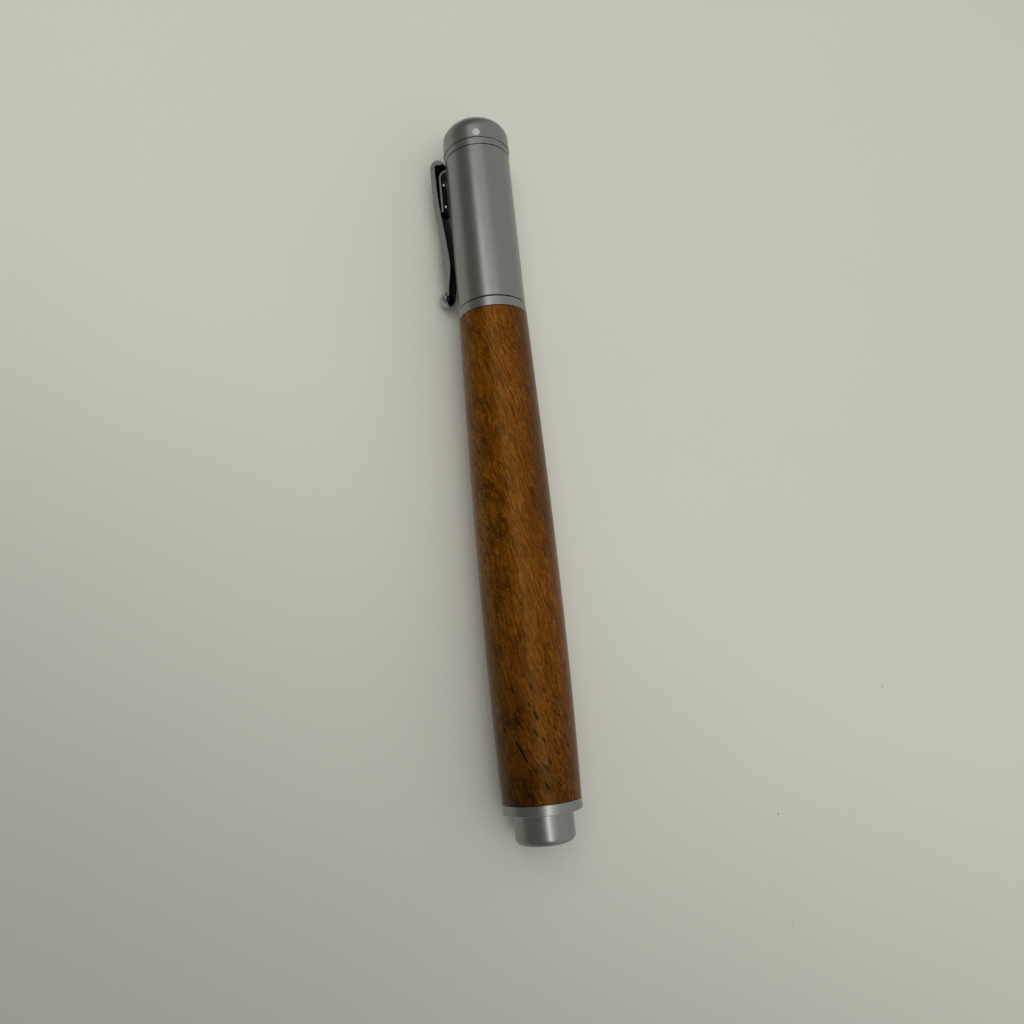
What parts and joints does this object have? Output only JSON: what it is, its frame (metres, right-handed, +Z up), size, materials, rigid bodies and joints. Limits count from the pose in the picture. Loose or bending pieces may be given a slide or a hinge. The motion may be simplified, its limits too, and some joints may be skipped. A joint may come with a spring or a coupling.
{
  "type": "rollerball pen",
  "caption": "Capped rollerball pen with a turned wood barrel, satin metal cap with spring clip, posting stub, and a screw-in grip holding a spring-backed refill.",
  "frame": {"origin": "centre of the bounding box in X and Y, at the height of the surface that the pen lies on", "axes": "+Z up; +Y along the pen from the posting stub to the finial; -X the side on which the clip hangs down to the surface"},
  "size_m": [0.0172, 0.1406, 0.0151],
  "materials": {
    "satin_metal": "satin, fine grain, plated",
    "turned_wood": "polished, figured grain",
    "brass_inner": "plain",
    "magnet": "nickel plated",
    "bright_steel": "bright",
    "dark_plastic": "matte",
    "pale_enamel": "gloss"
  },
  "bodies": {
    "barrel": {"wood_barrel": "turned_wood", "barrel_tube": "brass_inner", "front_coupler": "satin_metal", "front_magnet": "magnet", "rear_coupler": "satin_metal", "rear_stub": "satin_metal", "stub_stud": "bright_steel", "rear_magnet": "magnet", "refill_spring": "bright_steel"},
    "cap_ring": {"cap_magnet": "magnet"},
    "cap": {"cap_tube": "satin_metal", "cap_liner": "brass_inner", "cap_sleeve": "dark_plastic", "cap_bush": "brass_inner", "clip_collar": "satin_metal", "finial": "satin_metal", "finial_stud": "bright_steel", "finial_dot": "pale_enamel"},
    "clip": {"clip_arm": "satin_metal", "clip_leaf": "bright_steel", "clip_rivets": "bright_steel"},
    "refill": {"refill_tube": "dark_plastic", "refill_nose": "bright_steel", "refill_plug": "dark_plastic"},
    "grip": {"grip_section": "satin_metal"},
    "ball": {"writing_ball": "bright_steel"}
  },
  "joints": [
    {"name": "cap_pull", "type": "slide", "parent": "barrel", "child": "cap_ring", "axis": [0, 1, 0], "range_m": [0, 0.045]},
    {"name": "cap_turn", "type": "hinge", "parent": "cap_ring", "child": "cap", "pos_m": [0.00106, 0.0371, 0.00754], "axis": [0, 1, 0], "continuous": true},
    {"name": "clip_flex", "type": "hinge", "parent": "cap", "child": "clip", "pos_m": [-0.00417, 0.06223, 0.0044], "axis": [0.515, 0, -0.8572], "range_deg": [0, 5], "stiffness_Nm_per_rad": 1},
    {"name": "refill_advance", "type": "slide", "parent": "barrel", "child": "refill", "axis": [0, 1, 0], "range_m": [0, 0.00375], "deforming": ["refill_spring"]},
    {"name": "grip_unscrew", "type": "hinge", "parent": "refill", "child": "grip", "pos_m": [0.00106, 0.0417, 0.00754], "axis": [0, 1, 0], "range_deg": [0, 1800]},
    {"name": "ball_roll", "type": "hinge", "parent": "refill", "child": "ball", "pos_m": [0.00106, 0.05495, 0.00754], "axis": [1, 0, 0], "continuous": true}
  ],
  "couplings": [
    {"joint": "grip_unscrew", "follows": "refill_advance", "rad_per_m": 8377.6}
  ]
}
